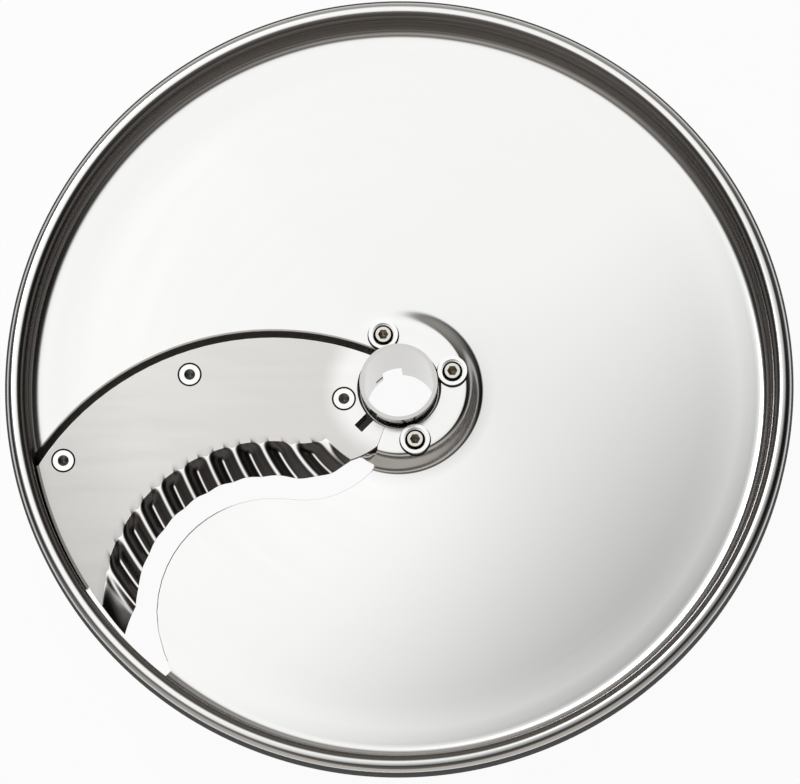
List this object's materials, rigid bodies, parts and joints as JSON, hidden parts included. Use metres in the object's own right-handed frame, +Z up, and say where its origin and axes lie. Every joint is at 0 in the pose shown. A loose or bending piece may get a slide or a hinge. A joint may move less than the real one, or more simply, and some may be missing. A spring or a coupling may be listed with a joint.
{
  "type": "ripple cut disc",
  "caption": "Round stainless slicing disc with a rolled rim, a falling plate, a curved blade with a rippled lip and a slotted drive tube clamped through a boss.",
  "frame": {"origin": "on the axis of the drive tube, at its lower end, which the disc stands on", "axes": "+Z up along the drive tube, out of the cutting side. The blade lies towards -X and the disc turns anticlockwise seen from +Z"},
  "size_m": [0.205, 0.205, 0.0375],
  "materials": {
    "plate_steel": "polished, with a very fine satin grain",
    "blade_steel": "satin, with ground ripples",
    "hub_steel": "turned and polished",
    "bush_steel": "turned and polished",
    "screw_steel": "bright, slightly warm"
  },
  "bodies": {
    "root": {"carrier_plate": "plate_steel", "ripple_blade": "blade_steel", "drive_hub": "hub_steel", "hub_bush_1": "bush_steel", "hub_screw_1": "screw_steel", "blade_screw_1": "screw_steel", "hub_bush_2": "bush_steel", "hub_screw_2": "screw_steel", "blade_screw_2": "screw_steel", "hub_bush_3": "bush_steel", "hub_screw_3": "screw_steel", "blade_screw_3": "screw_steel", "blade_nut_1": "screw_steel", "blade_nut_2": "screw_steel"}
  },
  "joints": []
}
